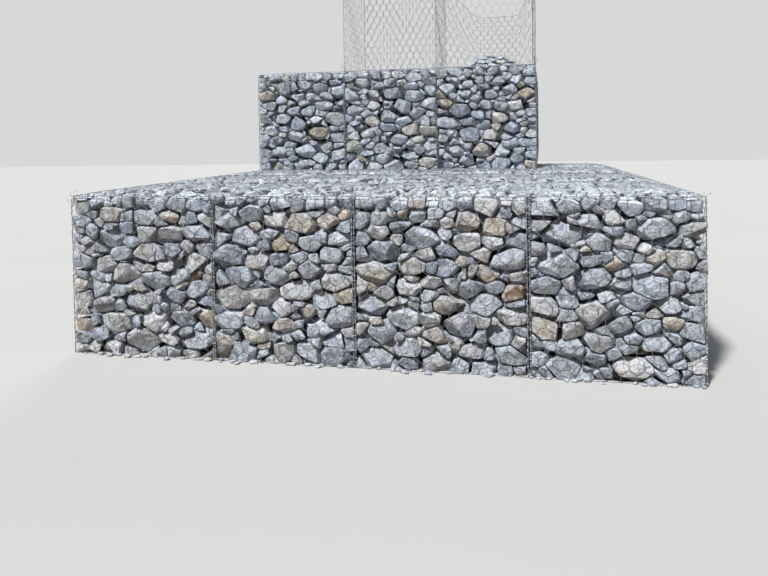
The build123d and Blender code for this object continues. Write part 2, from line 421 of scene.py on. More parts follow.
class Packing:
    """Stones in a space: where they lie, the sides they lie behind, and the gaps that two of them share."""

    def __init__(self, rng, seeds, low, high, sides):
        self.rng, self.low, self.high, self.sides = rng, low, high, sides
        self.places, self.sizes = np.array(seeds.places), np.array(seeds.sizes)
        self.gaps = {}
        # Coarser stones leave wider gaps
        self.wider = max(1.0, *(side.grain for side in sides)) ** gap_power

    def gap(self, number, other):
        """How far the gap between two stones leans, and its width. Both stones get the same answer."""
        key = (min(number, other), max(number, other))
        if key not in self.gaps:
            lean = any_way(self.rng).normalized() * self.rng.uniform(0, gap_lean)
            growth = gap_share + gap_growth * self.sizes[number]
            width = self.rng.choice(gap_widths) * growth * self.wider
            self.gaps[key] = lean, width
        return self.gaps[key]

    def room(self, number, near):
        """The box that a stone may fill. It may reach a little over a seam or diaphragm, but leaves the
        wires in front free."""
        here, span = self.places[number], most_room * self.sizes[number]
        by_wires = any(abs(side.normal[1]) == 1 for side in near)
        short = [self.rng.uniform(*(room_by_wires if by_wires else room_elsewhere)) for _ in range(2)] + [0]
        return box_solid(
            [max(here[k] - span, self.low[k] + short[k]) for k in range(3)],
            [min(here[k] + span, self.high[k] - short[k]) for k in range(3)],
        )

    def divide(self, solid, number, inner):
        """Cuts a stone off where its neighbours begin: a slanting face lies where two have equal power."""
        radius, centre = self.sizes[number], Vector(self.places[number])
        metric = np.array([1, 1, flatness * flatness])
        away = self.places - self.places[number]
        distance = np.einsum("ij,j,ij->i", away, metric, away)
        for other in np.argsort(distance)[1:neighbours + 1]:
            lean, width = self.gap(number, other)
            normal = Vector(away[other] * metric).normalized()
            turned = (normal + lean * (1 if number < other else -1)).normalized()
            share = (distance[other] + radius**2 - self.sizes[other] ** 2) / 2 / distance[other]
            contact = centre + Vector(away[other]) * share
            own = tilted(self.rng, turned, own_turn)
            offset = own @ contact - (0 if inner else width + worn_share * radius)
            solid = cut(solid, own, max(offset, own @ centre + least_share * radius))
            if solid is None:
                return None
        return solid

    def break_sides(self, solid, here, near, broken):
        """Broken faces that meet in ridges behind the mesh. Those on top lie looser."""
        rng, centre, alone = self.rng, Vector(here), len(near) == 1
        sunk = rng.uniform(*deep) if rng.random() < deep_share and alone else rng.uniform(*near_by)
        sunk *= broken
        for side in near:
            outward, depth = Vector(side.normal), side.depth(here)
            slopes = (face_slopes[0], face_slopes[1] * broken) if alone else edge_slopes
            if alone and side.grain < 1:
                sunk, slopes = rng.choice(loose_depths), loose_slopes
            turned = slanted(rng, outward, slopes)
            solid = cut(solid, turned, turned @ (centre + outward * (depth - sunk)))
            if solid and alone:
                large = slanted(rng, outward, large_chip_slopes)
                solid = chipped(rng, solid, large, centre, large_chip, broken)
            for _ in range(rng.randint(1, 2) if alone else rng.randint(0, 1)):
                if solid:
                    small = slanted(rng, outward, small_chip_slopes)
                    solid = chipped(rng, solid, small, centre, small_chip, broken)
            if solid:
                solid = cut(solid, outward, outward @ centre + depth)
            if solid is None:
                return None
        return solid

    def round_basket(self, solid, here, near):
        """Cuts a stone off where two sides meet, because stones round off a basket's edges."""
        centre = Vector(here)
        for first, second in zip(near, near[1:]):
            depths = first.depth(here) + second.depth(here)
            outward = (Vector(first.normal) + Vector(second.normal)).normalized()
            most = level_round if 1 in (abs(first.normal[2]), abs(second.normal[2])) else upright_round
            turned = tilted(self.rng, outward, round_tilt)
            level = outward @ centre + depths / math.sqrt(2) - self.rng.uniform(*round_shares) * most
            solid = cut(solid, turned, level + (turned - outward) @ centre)
            if solid is None:
                return None
        return solid

    def break_by_chance(self, solid, here, near):
        """Breaks across corners, most of them on what can be seen."""
        for _ in range(self.rng.randint(0, 2)):
            wild = any_way(self.rng)
            if near:
                outward = Vector(near[0].normal)
                wild -= outward * wild.dot(outward) * chance_turn
            solid = chipped(self.rng, solid, wild.normalized(), Vector(here), chance_chip)
            if solid is None:
                return None
        return solid

    def stone(self, number, inner, broken):
        """One stone: its share of the space with its breaks, or None where nothing is left. Where it is
        less broken, it shows a broad face close behind the mesh."""
        here, radius = self.places[number], self.sizes[number]
        near = [side for side in self.sides if side.depth(here) < facing * radius]
        solid = self.divide(self.room(number, near), number, inner)
        if inner or solid is None:
            return solid
        solid = self.break_sides(solid, here, near, broken)
        if solid:
            solid = self.round_basket(solid, here, near)
        if solid:
            solid = self.break_by_chance(solid, here, near)
        if solid is None:
            return None
        in_front = any(side.normal[1] < 0 for side in near)
        width = self.rng.uniform(*worn_edges) * (least_wear + radius / wear_size)
        return round_off(solid, width, least_edge if in_front else coarse_edge)

    def stones(self, outer, marked=0):
        """All stones, each with where it is. Those from number outer on lie in the dark, and the marked
        ones, which come first, are less broken."""
        found = []
        for number, place in enumerate(self.places):
            solid = self.stone(number, number >= outer, landmark_break if number < marked else 1.0)
            if solid:
                found.append((solid, place))
        return found


def cell_stones(seed, low, high, sides, marks):
    """All stones of a cell, each with where it is."""
    rng = random.Random(seed)
    seeds, outer = scatter(rng, sides, low, high, marks)
    # Stones may lie as far out as the swollen sides reach
    wide_low, wide_high = list(low), list(high)
    for side in sides:
        if side.outward > 0:
            wide_high[side.axis] += swell
        else:
            wide_low[side.axis] -= swell
    return Packing(rng, seeds, wide_low, wide_high, sides).stones(outer, len(marks))


def join_stones(name, stones, material, seed, marks=(), shade_blueness=1.0):
    """One mesh of many stones, with two chance numbers on each for its colour. A mark sets the first
    number of the stone that lies there, and the last argument paints bluish shade with more blue-grey kinds."""
    rng = random.Random(seed)
    chosen = {}
    for place, kind in marks:
        gaps = [(Vector(where) - Vector(place)).length for _, where in stones]
        chosen[gaps.index(min(gaps))] = kind
    points, faces, kinds, tones = [], [], [], []
    for number, ((stone_points, stone_faces), _) in enumerate(stones):
        start = len(points)
        points += stone_points
        faces += [[start + i for i in face] for face in stone_faces]
        kind = rng.random() ** shade_blueness
        kinds += [chosen.get(number, kind)] * len(stone_points)
        tones += [rng.random()] * len(stone_points)
    thing = new_mesh(name, points, faces, material)
    for label, values in (("kind", kinds), ("tone", tones)):
        attribute = thing.data.attributes.new(label, "FLOAT", "POINT")
        attribute.data.foreach_set("value", values)
    thing.data.shade_smooth()
    weighted = thing.modifiers.new("facets", "WEIGHTED_NORMAL")
    weighted.mode = "FACE_AREA"
    weighted.weight = 60
    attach(thing, "root")
    return thing


# Wires

def unit(directions):
    """Directions, along the last axis of an array, at unit length."""
    return directions / (np.linalg.norm(directions, axis=-1, keepdims=True) + 1e-12)


def tubes(paths, radius, sides, normal):
    """Tubes along paths of equal length, given as (wire, point, xyz), as points and faces."""
    paths = np.asarray(paths, float)
    wires, count, _ = paths.shape
    along = unit(np.gradient(paths, axis=1))
    across = unit(np.cross(along, np.asarray(normal, float)))
    over = np.cross(across, along)
    angles = 2 * np.pi * (np.arange(sides) + 0.5) / sides
    ring = np.cos(angles)[:, None] * across[:, :, None] + np.sin(angles)[:, None] * over[:, :, None]
    points = (paths[:, :, None] + radius * ring).reshape(-1, 3)
    wire, step, side = np.meshgrid(np.arange(wires), np.arange(count - 1), np.arange(sides), indexing="ij")
    base = (wire * count + step) * sides
    following = (side + 1) % sides
    quads = np.stack([base + side, base + following, base + sides + following, base + sides + side], -1)
    faces = quads.reshape(-1, 4).tolist()
    for number in range(wires):
        first, last = number * count * sides, ((number + 1) * count - 1) * sides
        faces.append([first + side for side in reversed(range(sides))])
        faces.append([last + side for side in range(sides)])
    return points, faces


def bent_tube(path, radius, sides):
    """A tube along any bent path."""
    path = np.asarray(path, float)
    along = unit(np.gradient(path, axis=0))
    guide = np.array([0.0, 0.0, 1.0]) if abs(along[0][2]) < 0.9 else np.array([1.0, 0.0, 0.0])
    normals = []
    for direction in along:
        guide = guide - direction * (guide @ direction)
        guide = guide / np.linalg.norm(guide)
        normals.append(guide)
    return tubes(path[None], radius, sides, np.array(normals)[None])


def joined(parts):
    """Several lots of points and faces as one."""
    points, faces, start = [], [], 0
    for some_points, some_faces in parts:
        points.append(np.asarray(some_points))
        faces += [[start + i for i in face] for face in some_faces]
        start += len(some_points)
    return np.concatenate(points), faces


def wire_piece(name, parts, slot, *replaced):
    """A smooth object out of tubes, in the finish of its slot, that stands for the replaced nodes."""
    points, faces = joined(parts)
    # Nothing dips under the floor
    points[:, 2] = np.maximum(points[:, 2], 0)
    thing = new_mesh(name, points.tolist(), faces, wire_finishes[slot])
    thing.data.shade_smooth()
    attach(thing, "root")
    if replaced:
        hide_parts(*replaced)
    return thing


def hex_wires(width, height, fine):
    """Wires of a double-twist mesh over a rectangle: (wire, point, [u, v, lift]), twists along v."""
    run, row_pitch = hex_pitch / 2, twist_length + slant_rise
    columns = math.ceil(width / run)
    rows = int((height + slant_rise) / row_pitch)
    start_u = (width - columns * run) / 2
    start_v = (height - rows * row_pitch + slant_rise) / 2
    wires = []
    for wire in range(columns):
        points = [(start_u + run * (wire + 0.5), 0, 0)]
        for row in range(rows):
            level = start_v + row * row_pitch
            on_left = (wire + row) % 2 == 0
            centre = start_u + run * (wire if on_left else wire + 1)
            offset = mesh_radius * (1 if on_left else -1)
            turns = [(0, offset, 0), (1, offset, 0)]
            if fine:
                # Once round each other
                turns[1:1] = [(0.35, -offset / 2, offset), (0.65, -offset / 2, -offset)]
            points += [(centre + shift, level + share * twist_length, lift) for share, shift, lift in turns]
        points.append((start_u + run * (wire + 0.5), height, 0))
        wires.append(points)
    wires = np.array(wires)
    wires[:, :, 0] = np.clip(wires[:, :, 0], 0, width)
    return wires


def mesh_on(side, fine):
    """Mesh over the stretch of a side that shows, swollen as the stones are."""
    (u0, u1), (v0, v1) = side.limits
    wires = hex_wires(u1 - u0, v1 - v0, fine)
    points = np.zeros_like(wires)
    points[:, :, side.u] = u0 + wires[:, :, 0]
    points[:, :, side.v] = v0 + wires[:, :, 1]
    across, up = [np.clip(side.swollen(k, points[:, :, k]), 0, 1) for k in (side.u, side.v)]
    off = mesh_stand_off * np.minimum(1, 3 * across * up)
    points[:, :, side.axis] = side.level + side.outward * (swell * across * up + off + wires[:, :, 2])
    return tubes(points, mesh_radius, mesh_sides if fine else far_mesh_sides, side.normal)


def wavy(rng, start, end, stray):
    """A path between two points, as straight as an old wire is."""
    start, end = Vector(start), Vector(end)
    steps = max(4, round((end - start).length / stray_step))
    phases = [rng.uniform(0, 6.3) for _ in range(6)]
    path = []
    for step in range(steps + 1):
        share = step / steps
        hold = min(1, 6 * share, 6 * (1 - share))
        bend = Vector(
            math.sin(3 * math.pi * share + phases[k]) + 0.5 * math.sin(11 * math.pi * share + phases[k + 3])
            for k in range(3)
        )
        path.append(start.lerp(end, share) + bend * stray * hold)
    return path


def wire_ring(rng, corners, stray=ring_stray):
    """Selvedge wire round a panel, with its corners given in order."""
    return [
        bent_tube(wavy(rng, a, b, stray), selvedge_radius, selvedge_sides)
        for a, b in zip(corners, corners[1:] + corners[:1])
    ]


def corners_at(axis, level, low, high):
    """Corners of a box's section across an axis."""
    u, v = [k for k in range(3) if k != axis]
    found = []
    for a, b in ((low[u], low[v]), (high[u], low[v]), (high[u], high[v]), (low[u], high[v])):
        corner = [0, 0, 0]
        corner[axis], corner[u], corner[v] = level, a, b
        found.append(corner)
    return found


def stations(rng, start, end, spacing, stray):
    """Places along a wire, a little off from even distances."""
    count = int((end - start).length / spacing)
    for number in range(count):
        yield start.lerp(end, (number + 0.5 + rng.uniform(-stray, stray)) / count)


def sleeves(rng, start, end):
    """Where each mesh wire is wound round a selvedge wire: short sleeves along it."""
    start, end = Vector(start), Vector(end)
    along = (end - start).normalized()
    parts, radius = [], selvedge_radius + 2 * mesh_radius * 0.8
    for middle in stations(rng, start, end, hex_pitch / 2, 0.15):
        half = along * rng.uniform(0.005, 0.008)
        parts.append(bent_tube([middle - half, middle + half], radius, other_sides))
    return parts


def turned_ends(rng, start, end, aside):
    """Ends of mesh wires, each wound round a selvedge wire and cut off beside it."""
    start, end, aside = Vector(start), Vector(end), Vector(aside)
    along = (end - start).normalized()
    out = along.cross(aside)
    parts, hold, step_along = [], selvedge_radius + mesh_radius * 1.4, 0.0022
    for place in stations(rng, start, end, twist_length, 0.25):
        path = []
        for step in range(9):
            angle = math.pi * (0.1 + 0.35 * step)
            turn = aside * hold * math.cos(angle)
            path.append(place + turn + out * hold * math.sin(angle) + along * step_along * step)
        path.append(path[-1] + aside * rng.uniform(-0.004, 0.012) + along * rng.uniform(-0.012, 0.012))
        parts.append(bent_tube(path, mesh_radius, mesh_sides))
    return parts


def winding(start, end, wide, deep, across, out, pitch):
    """Lacing wire wound round a pair of wires, with close and long turns by turns."""
    start, end, across, out = Vector(start), Vector(end), Vector(across), Vector(out)
    turns = max(2, 2 * round((end - start).length / pitch))
    path, per_turn = [], 10
    for step in range(turns * per_turn + 1):
        turn, part = divmod(step, per_turn)
        # A close turn takes a sixth of the pitch, and a long one the rest
        share = part / per_turn
        place = turn // 2 + (share / 6 if turn % 2 == 0 else 1 / 6 + share * 5 / 6)
        angle = 2 * math.pi * share
        point = start.lerp(end, min(1, place / (turns / 2)))
        path.append(point + across * wide * math.cos(angle) + out * deep * math.sin(angle))
    return bent_tube(path, lacing_radius, other_sides)


def lacing_reach(half):
    """How far lacing goes to each side of the middle, where two wires lie apart by twice the given half."""
    return half + 2 * selvedge_radius + lacing_radius


def curl(rng, start, away, amount):
    """A loose wire end that curls off."""
    start, away = Vector(start), Vector(away)
    side = away.cross(any_way(rng)).normalized()
    up = away.cross(side).normalized()
    bend, steps = rng.uniform(2.4, 4.5), 12
    path = []
    for step in range(steps + 1):
        share = step / steps
        angle = bend * share
        lift = up * amount * (1 - math.cos(angle)) * 0.6
        path.append(start + away * share + side * amount * math.sin(angle) + lift)
    return bent_tube(path, mesh_radius, other_sides)


# Materials

def linear(red, green, blue):
    """A colour written as 0 to 255 for a screen, as Blender counts it."""
    parts = [value / 255 for value in (red, green, blue)]
    return [c / 12.92 if c <= 0.04045 else ((c + 0.055) / 1.055) ** 2.4 for c in parts] + [1]


class Nodes:
    """Short ways to put the nodes of a material or a world together."""

    def __init__(self, owner):
        self.owner = owner
        owner.use_nodes = True
        self.tree = owner.node_tree

    def add(self, type_name, inputs=None, **settings):
        node = self.tree.nodes.new(type_name)
        for label, value in settings.items():
            setattr(node, label, value)
        for label, value in (inputs or {}).items():
            self.put(node.inputs[label], value)
        return node

    def put(self, socket, value):
        if isinstance(value, bpy.types.NodeSocket):
            self.tree.links.new(value, socket)
        else:
            socket.default_value = value

    def mix(self, share, first, second, blend="MIX"):
        node = self.add("ShaderNodeMix", data_type="RGBA", blend_type=blend)
        sockets = [s for s in node.inputs if s.type == "RGBA"]
        factor = [s for s in node.inputs if s.type == "VALUE"][0]
        self.put(factor, share)
        self.put(sockets[0], first)
        self.put(sockets[1], second)
        return [s for s in node.outputs if s.type == "RGBA"][0]

    def map(self, value, low, high, to_low, to_high):
        inputs = {"Value": value, "From Min": low, "From Max": high, "To Min": to_low, "To Max": to_high}
        return self.add("ShaderNodeMapRange", inputs).outputs["Result"]

    def math(self, operation, first, second):
        return self.add("ShaderNodeMath", {0: first, 1: second}, operation=operation).outputs["Value"]

    def moved(self, place, away):
        return self.add("ShaderNodeVectorMath", {0: place, 1: away}, operation="ADD").outputs["Vector"]

    def scaled(self, place, scale):
        inputs = {0: place, "Scale": scale}
        return self.add("ShaderNodeVectorMath", inputs, operation="SCALE").outputs["Vector"]

    def seen(self):
        """1 for the camera, also by way of gloss and glass, and 0 for the light that falls on things."""
        rays = self.add("ShaderNodeLightPath").outputs
        direct = self.math("MAXIMUM", rays["Is Camera Ray"], rays["Is Glossy Ray"])
        return self.math("MAXIMUM", direct, rays["Is Transmission Ray"])


class Finish(Nodes):
    """The nodes of a material whose patterns are true to scale on the object."""

    def __init__(self, name):
        super().__init__(bpy.data.materials.new(name))
        self.shader = self.tree.nodes["Principled BSDF"]
        self.place = self.add("ShaderNodeTexCoord").outputs["Object"]

    def noise(self, scale, detail=4, roughness=0.55, place=None):
        inputs = {"Scale": scale, "Detail": detail, "Roughness": roughness, "Vector": place or self.place}
        return self.add("ShaderNodeTexNoise", inputs).outputs["Fac"]

    def bands(self, value, stops):
        """Colours that follow each other without a blend as a value grows."""
        node = self.add("ShaderNodeValToRGB", {"Fac": value})
        node.color_ramp.interpolation = "CONSTANT"
        elements = node.color_ramp.elements
        while len(elements) < len(stops):
            elements.new(0.5)
        for element, (position, colour) in zip(elements, stops):
            element.position = position
            element.color = linear(*colour)
        return node.outputs["Color"]

    def tint(self, colour, pattern, low, high, most, shade):
        """Lays a shade over a colour, where a pattern's value goes from low to high."""
        return self.mix(self.map(pattern, low, high, 0, most), colour, linear(*shade))

    def times(self, colour, level):
        """A colour made brighter or darker."""
        grey = self.add("ShaderNodeCombineColor", {"Red": level, "Green": level, "Blue": level})
        return self.mix(1.0, colour, grey.outputs["Color"], "MULTIPLY")

    def upward(self, normal):
        """How far a surface looks up, from -1 to 1."""
        return self.add("ShaderNodeSeparateXYZ", {"Vector": normal}).outputs["Z"]

    def bump(self, height, strength, distance, under=None, invert=False):
        """Relief from a height, on top of the relief under it."""
        inputs = {"Height": height, "Strength": strength, "Distance": distance}
        if under:
            inputs["Normal"] = under
        return self.add("ShaderNodeBump", inputs, invert=invert).outputs["Normal"]

    def finished(self, colour, roughness, normal):
        self.put(self.shader.inputs["Base Color"], colour)
        self.put(self.shader.inputs["Roughness"], roughness)
        self.put(self.shader.inputs["Normal"], normal)
        return self.owner


# Kinds of limestone: where each begins as chance goes from 0 to 1, and its colour
stone_colours = [
    (0.00, (208, 218, 231)),
    (0.32, (188, 200, 217)),
    (0.60, (218, 219, 220)),
    (0.81, (220, 213, 202)),
    (0.88, (160, 170, 187)),
    (0.975, (214, 196, 170)),
    (0.995, (188, 152, 112)),
]

# A value inside each kind, in the same order
pale, blue, grey, beige, dark, tan, ochre = 0.10, 0.45, 0.70, 0.84, 0.93, 0.985, 0.998


def stone_material(name, top_dust_and_light):
    """Crushed limestone, with a share of pale dust and painted top light on what looks up."""
    nodes = Finish(name)
    kind = nodes.add("ShaderNodeAttribute", attribute_name="kind").outputs["Fac"]
    tone = nodes.add("ShaderNodeAttribute", attribute_name="tone").outputs["Fac"]
    geometry = nodes.add("ShaderNodeNewGeometry").outputs
    colour = nodes.times(nodes.bands(kind, stone_colours), nodes.map(tone, 0, 1, 0.79, 1.03))

    # Each stone takes its patterns from another place
    shifts = {"X": nodes.math("MULTIPLY", tone, 37), "Y": nodes.math("MULTIPLY", kind, 53)}
    away = nodes.add("ShaderNodeCombineXYZ", shifts).outputs["Vector"]
    own = nodes.moved(nodes.place, away)
    mottle = nodes.noise(30, 6, 0.68, own)
    stain = nodes.noise(16, 6, 0.7, own)
    colour = nodes.tint(colour, mottle, 0.48, 0.59, 0.70, (230, 233, 238))
    colour = nodes.tint(colour, stain, 0.52, 0.64, 0.72, (116, 124, 138))
    colour = nodes.tint(colour, nodes.noise(6, 3, 0.5, own), 0.56, 0.72, 0.5, (204, 186, 163))
    colour = nodes.tint(colour, nodes.noise(75, 4, 0.65, own), 0.53, 0.64, 0.55, (112, 112, 112))

    # Hairline cracks, on some stretches
    bend = nodes.add("ShaderNodeTexNoise", {"Vector": own, "Scale": 14, "Detail": 3}).outputs["Color"]
    bent = nodes.moved(own, nodes.scaled(bend, 0.16))
    crack = nodes.add("ShaderNodeTexVoronoi", {"Vector": bent, "Scale": 13}, feature="DISTANCE_TO_EDGE")
    line = nodes.map(crack.outputs["Distance"], 0.0, 0.020, 1, 0)
    cracked = nodes.math("MULTIPLY", line, nodes.map(nodes.noise(11, 2, 0.5, own), 0.50, 0.64, 0, 0.6))
    colour = nodes.mix(cracked, colour, linear(98, 97, 96))

    # Pale dust and painted top light on what looks up, most of it on the open tops of the baskets
    height = nodes.add("ShaderNodeSeparateXYZ", {"Vector": nodes.place}).outputs["Z"]
    off_tops = [
        nodes.math("ABSOLUTE", nodes.math("SUBTRACT", height, top), 0) for top in (lower_top, upper_top)
    ]
    top_share = nodes.map(nodes.math("MINIMUM", *off_tops), 0.05, 0.10, top_dust_and_light, 0.45 * top_dust_and_light)
    level = nodes.map(nodes.upward(geometry["Normal"]), 0.30, 0.80, 0, 1)
    dust_and_top_light = nodes.math("MULTIPLY", level, nodes.map(stain, 0.40, 0.66, 1, 0.35))
    colour = nodes.mix(nodes.math("MULTIPLY", dust_and_top_light, top_share), colour, linear(240, 247, 255))

    # Each broken face has a tone of its own
    faced = nodes.moved(nodes.scaled(geometry["True Normal"], 1.7), away)
    colour = nodes.times(colour, nodes.map(nodes.noise(1.6, 1, 0.5, faced), 0.32, 0.68, 0.66, 1.12))

    # Hackly breaks, pits and the cracks
    hackly = nodes.bump(nodes.noise(26, 5, 0.62, own), 1.0, 0.028)
    pitted = nodes.bump(nodes.noise(110, 4, 0.65, own), 0.8, 0.007, hackly)
    grooved = nodes.bump(cracked, 0.5, 0.002, pitted, invert=True)
    nodes.shader.inputs["Specular IOR Level"].default_value = 0.3
    return nodes.finished(colour, nodes.map(mottle, 0.3, 0.7, 0.95, 0.78), grooved)


def wire_material(name, bright, dull, metal):
    """Galvanised wire: spangled zinc with duller streaks, and paler where it looks up, from white bloom and
    painted top light.
    """
    nodes = Finish(name)
    streak = nodes.noise(28, 4, 0.6)
    spangle = nodes.add("ShaderNodeTexVoronoi", {"Vector": nodes.place, "Scale": 260}).outputs["Color"]
    grain = nodes.add("ShaderNodeSeparateColor", {"Color": spangle}).outputs["Red"]
    normal = nodes.add("ShaderNodeNewGeometry").outputs["Normal"]
    colour = nodes.tint(linear(*bright), streak, 0.38, 0.66, 1, dull)
    colour = nodes.tint(colour, grain, 0, 1, 0.2, (190, 193, 196))
    # White bloom and painted top light: paler where the wire looks up
    colour = nodes.tint(colour, nodes.upward(normal), 0.35, 0.90, 0.9, (222, 227, 234))
    nodes.shader.inputs["Metallic"].default_value = metal
    drawn = nodes.bump(nodes.noise(420, 2, 0.5), 0.3, 0.0004)
    return nodes.finished(colour, nodes.map(streak, 0.3, 0.7, 0.38, 0.62), drawn)


# Pale dust and painted top light: all of it on the crushed stone, a fifth of it on the clean stone
crushed_stone = stone_material("crushed_stone", 1.0)
clean_stone = stone_material("clean_stone", 0.2)
wire_finishes = {
    "selvedge_wire": wire_material("galvanised_selvedge", (146, 150, 155), (106, 110, 115), 0.6),
    "mesh_wire": wire_material("galvanised_mesh", (132, 136, 142), (98, 102, 108), 0.35),
    "lacing_wire": wire_material("galvanised_lacing", (166, 170, 175), (122, 126, 131), 0.6),
}

# Stones that stand out on the front, placed one by one: shares of the basket's length and height, half
# width in metres, and kind
landmarks = {
    "lower_basket_1": [
        (0.90, 0.11, 0.110, pale), (0.73, 0.38, 0.090, dark), (0.36, 0.64, 0.075, pale),
        (0.54, 0.64, 0.085, grey), (0.20, 0.42, 0.085, pale), (0.88, 0.77, 0.090, blue),
        (0.28, 0.88, 0.085, beige), (0.69, 0.12, 0.073, grey),
    ],
    "lower_basket_2": [
        (0.66, 0.83, 0.097, beige), (0.83, 0.85, 0.070, beige), (0.50, 0.71, 0.073, tan),
        (0.85, 0.65, 0.090, pale), (0.86, 0.50, 0.095, grey), (0.28, 0.90, 0.090, blue),
        (0.29, 0.16, 0.097, beige), (0.50, 0.08, 0.090, grey), (0.87, 0.06, 0.100, dark),
    ],
    "lower_basket_3": [
        (0.93, 0.46, 0.068, ochre), (0.78, 0.57, 0.080, tan), (0.76, 0.39, 0.100, pale),
        (0.91, 0.33, 0.088, grey), (0.55, 0.38, 0.095, beige), (0.67, 0.86, 0.088, beige),
        (0.83, 0.82, 0.080, beige), (0.35, 0.60, 0.095, grey), (0.14, 0.55, 0.100, beige),
        (0.27, 0.83, 0.070, dark), (0.32, 0.47, 0.090, grey), (0.55, 0.59, 0.083, blue),
        (0.48, 0.20, 0.072, beige), (0.90, 0.10, 0.080, pale),
    ],
    "lower_basket_4": [
        (0.37, 0.36, 0.115, grey), (0.10, 0.26, 0.085, beige), (0.10, 0.40, 0.085, grey),
        (0.87, 0.67, 0.098, grey), (0.72, 0.67, 0.062, beige), (0.50, 0.64, 0.058, tan),
        (0.63, 0.43, 0.080, dark), (0.68, 0.31, 0.087, blue), (0.41, 0.21, 0.087, grey),
        (0.35, 0.86, 0.075, pale),
    ],
    "upper_basket_1": [
        (0.68, 0.39, 0.165, tan), (0.10, 0.78, 0.100, tan), (0.14, 0.42, 0.110, pale),
        (0.72, 0.84, 0.108, blue), (0.46, 0.76, 0.100, blue), (0.41, 0.62, 0.098, dark),
        (0.23, 0.20, 0.110, pale), (0.72, 0.12, 0.092, pale),
    ],
    "upper_basket_2": [
        (0.20, 0.88, 0.093, grey), (0.76, 0.92, 0.088, pale), (0.33, 0.65, 0.093, grey),
        (0.72, 0.40, 0.100, beige), (0.90, 0.38, 0.090, beige), (0.10, 0.24, 0.100, beige),
        (0.25, 0.37, 0.096, grey), (0.90, 0.08, 0.100, beige),
    ],
    "upper_basket_3": [
        (0.12, 0.80, 0.097, blue), (0.09, 0.65, 0.080, tan), (0.90, 0.73, 0.090, tan),
        (0.55, 0.73, 0.096, blue), (0.81, 0.62, 0.100, grey), (0.32, 0.84, 0.084, grey),
        (0.19, 0.19, 0.096, pale), (0.75, 0.25, 0.090, blue),
    ],
}


# Stone fill and face mesh of the filled baskets

def bare_top(low, high, cell, under_edge=0.06):
    """The stretch of a cell's top that shows, and a little of what lies under the upper course. Cells in
    front of that course, and its own, show all of it."""
    if cell < step_cells:
        return low[0], high[0]
    if low[0] < upper_left:
        return low[0], upper_left + under_edge
    if high[0] > upper_right:
        return upper_right - under_edge, high[0]
    return None


def basket_cells(low, high, lines, ends, grain):
    """Cells of a basket with their exposed sides. ends says whether its left and right end show."""
    cells = []
    for number, (y0, y1) in enumerate(zip(lines, lines[1:])):
        cell_low, cell_high = (low[0], y0, low[2]), (high[0], y1, high[2])
        upright = [
            (1, -1, number == 0),
            (1, 1, number == len(lines) - 2),
            (0, -1, ends[0]),
            (0, 1, ends[1]),
        ]
        sides = [Side(cell_low, cell_high, axis, way, grain) for axis, way, shows in upright if shows]
        top = bare_top(low, high, number)
        if top:
            sides.append(Side(cell_low, cell_high, 2, 1, top_grain, (top, (y0, y1))))
        cells.append((cell_low, cell_high, sides))
    return cells


def fill_basket(name, low, high, lines, ends, seed, grain, shade_blueness):
    """Stones and face mesh of one filled basket."""
    stones, panels = [], []
    across, up = high[0] - low[0], high[2] - low[2]
    marks = [
        ((low[0] + along * across, low[1] + 0.6 * size, low[2] + rise * up), size, kind)
        for along, rise, size, kind in landmarks[name]
    ]
    for number, (cell_low, cell_high, sides) in enumerate(basket_cells(low, high, lines, ends, grain)):
        placed = [(place, size) for place, size, _ in marks] if number == 0 else []
        near, far = Vector(cell_low) + cell_room, Vector(cell_high) - cell_room
        stones += cell_stones(seed + number, near, far, sides, placed)
        for side in sides:
            fine = side.axis == 1 and side.outward < 0
            panels.append(mesh_on(side, fine))
    tints = [(place, kind) for place, _, kind in marks]
    node = name.replace("basket", "fill")
    fill = join_stones(node + "_stones", stones, crushed_stone, seed + 77, tints, shade_blueness)
    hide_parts(node)
    wire_piece(name.replace("basket", "face_mesh"), panels, "mesh_wire")


# Each course: its baskets, the lines across them, how coarse its stones are, and its first seed
courses = {"lower": (lower, cell_lines, 1.0, 100), "upper": (upper, [upper_front, back], upper_grain, 1000)}
for course, (boxes, lines, grain, seed) in courses.items():
    for number, (low, high) in enumerate(boxes):
        ends = number == 0, number == len(boxes) - 1
        # The fill of the upper course and of the last lower basket gets more blue-grey kinds, as painted
        # bluish shade
        shade_blueness = 1.6 if course == "upper" or ends[1] else 1.0
        name = f"{course}_basket_{number + 1}"
        fill_basket(name, low, high, lines, ends, seed + 100 * number, grain, shade_blueness)


# Selvedges, diaphragm edges and lacing of the filled baskets

def basket_wires(rng, low, high, lines):
    """Wire rings at a basket's ends and diaphragms, the long wires between them, and the mesh's ends."""
    near, far = low + inset, high - inset
    parts = []
    for line in lines:
        parts += wire_ring(rng, corners_at(1, min(max(line, near[1]), far[1]), near, far))
    ring = corners_at(1, near[1], near, far)
    for corner in ring:
        path = wavy(rng, corner, (corner[0], far[1], corner[2]), long_stray)
        parts.append(bent_tube(path, selvedge_radius, selvedge_sides))
    for a, b in zip(ring, ring[1:] + ring[:1]):
        parts += sleeves(rng, a, b)
    for (a, b), inward in (((ring[1], ring[2]), -1), ((ring[0], ring[3]), 1)):
        parts += turned_ends(rng, a, b, (inward, 0, 0))
    return parts


